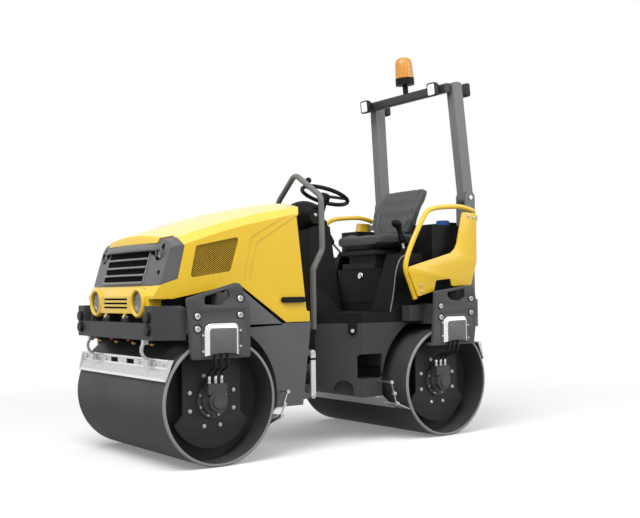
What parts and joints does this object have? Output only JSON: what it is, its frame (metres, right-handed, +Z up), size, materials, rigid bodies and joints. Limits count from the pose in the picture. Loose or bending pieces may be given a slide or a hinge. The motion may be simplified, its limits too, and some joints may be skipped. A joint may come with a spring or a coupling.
{
  "type": "tandem road roller",
  "caption": "Ride-on articulated road roller with smooth steel drums front and rear, a tilting hood, an open operator platform and a folding roll-over frame.",
  "frame": {"origin": "on the ground, midway between the two drums and on the machine's middle plane", "axes": "+X forward, +Y to the operator's left, +Z up"},
  "size_m": [2.53, 1.318, 2.6834],
  "materials": {
    "yellow_paint": "gloss enamel",
    "frame_grey": "satin textured enamel",
    "post_grey": "satin enamel on tube",
    "fork_grey": "satin enamel on cast and flame-cut steel",
    "silver_cover": "satin silver enamel",
    "hose_rubber": "matt",
    "zinc": "galvanised",
    "bright_steel": "polished",
    "drum_steel": "satin, worn bright at the rim",
    "engine_black": "satin",
    "grille_plastic": "fine grained",
    "lamp_lens": "clear over a bright reflector",
    "mesh_steel": "perforated sheet",
    "black_plastic": "grained moulding",
    "seat_vinyl": "grained vinyl",
    "blue_plastic": "gloss",
    "amber_lens": "ribbed lens"
  },
  "bodies": {
    "rear": {"rear_frame": "frame_grey", "hinge_pins": "zinc", "platform": "black_plastic", "fenders": "black_plastic", "console": "black_plastic", "dash_pod": "black_plastic", "steering_column": "black_plastic", "handrail": "post_grey", "seat_pedestal": "black_plastic", "seat_suspension": "engine_black", "seat_cushion": "seat_vinyl", "seat_backrest": "seat_vinyl", "travel_levers": "black_plastic", "guard_panels": "yellow_paint", "guard_rails": "yellow_paint", "water_tank": "black_plastic", "tank_cap": "blue_plastic", "rear_forks": "fork_grey", "rear_covers": "silver_cover", "rear_motors": "fork_grey", "rear_hoses": "hose_rubber", "rear_scrapers": "zinc", "rear_spray_bar": "black_plastic", "rear_bumper": "frame_grey", "rear_buffers": "hose_rubber", "rops_sockets": "post_grey"},
    "front": {"front_frame": "frame_grey", "front_bumper": "frame_grey", "front_buffers": "hose_rubber", "front_forks": "fork_grey", "front_covers": "silver_cover", "front_motors": "fork_grey", "front_hoses": "hose_rubber", "front_scrapers": "zinc", "front_spray_bar": "black_plastic", "engine_block": "engine_black", "lock_bar": "silver_cover", "hood_hinge_pins": "zinc"},
    "hood": {"hood": "yellow_paint", "grille": "grille_plastic", "headlights": "lamp_lens", "marker_lamps": "lamp_lens", "hood_mesh": "mesh_steel", "hood_latches": "black_plastic"},
    "knuckle": {"knuckle": "frame_grey"},
    "front_drum": {"front_drum": "drum_steel"},
    "rear_drum": {"rear_drum": "drum_steel"},
    "steer_barrel": {"steer_barrel": "engine_black"},
    "steer_rod": {"steer_rod": "bright_steel"},
    "steering_wheel": {"steering_wheel": "black_plastic"},
    "rops": {"rops_posts": "post_grey", "rops_crossbar": "post_grey", "work_lamps": "black_plastic", "beacon_base": "black_plastic", "beacon_dome": "amber_lens"}
  },
  "joints": [
    {"name": "steer", "type": "hinge", "parent": "rear", "child": "knuckle", "pos_m": [0, 0, 0.5], "axis": [0, 0, 1], "range_deg": [-30, 30]},
    {"name": "oscillation", "type": "hinge", "parent": "knuckle", "child": "front", "pos_m": [0, 0, 0.5], "axis": [1, 0, 0], "range_deg": [-8, 8]},
    {"name": "hood_tilt", "type": "hinge", "parent": "front", "child": "hood", "pos_m": [1.224, 0, 0.836], "axis": [0, 1, 0], "range_deg": [0, 60]},
    {"name": "front_drum_roll", "type": "hinge", "parent": "front", "child": "front_drum", "pos_m": [0.865, 0, 0.36], "axis": [0, 1, 0], "continuous": true},
    {"name": "rear_drum_roll", "type": "hinge", "parent": "rear", "child": "rear_drum", "pos_m": [-0.865, 0, 0.36], "axis": [0, 1, 0], "continuous": true},
    {"name": "rops_fold", "type": "hinge", "parent": "rear", "child": "rops", "pos_m": [-1.213, 0, 1.611], "axis": [0, -1, 0], "range_deg": [0, 110]},
    {"name": "steering_wheel_turn", "type": "hinge", "parent": "rear", "child": "steering_wheel", "pos_m": [-0.315, 0, 1.625], "axis": [-0.342, 0, 0.9397], "continuous": true},
    {"name": "barrel_swing", "type": "hinge", "parent": "rear", "child": "steer_barrel", "pos_m": [-0.345, -0.15, 0.5], "axis": [0, 0, 1], "range_deg": [-4, 4]},
    {"name": "rod_slide", "type": "slide", "parent": "steer_barrel", "child": "steer_rod", "axis": [0.9936, 0.1131, 0], "range_m": [-0.065, 0.065]}
  ],
  "couplings": [
    {"joint": "barrel_swing", "follows": "steer", "ratio": 0.106},
    {"joint": "rod_slide", "follows": "steer", "m_per_rad": 0.1065}
  ]
}
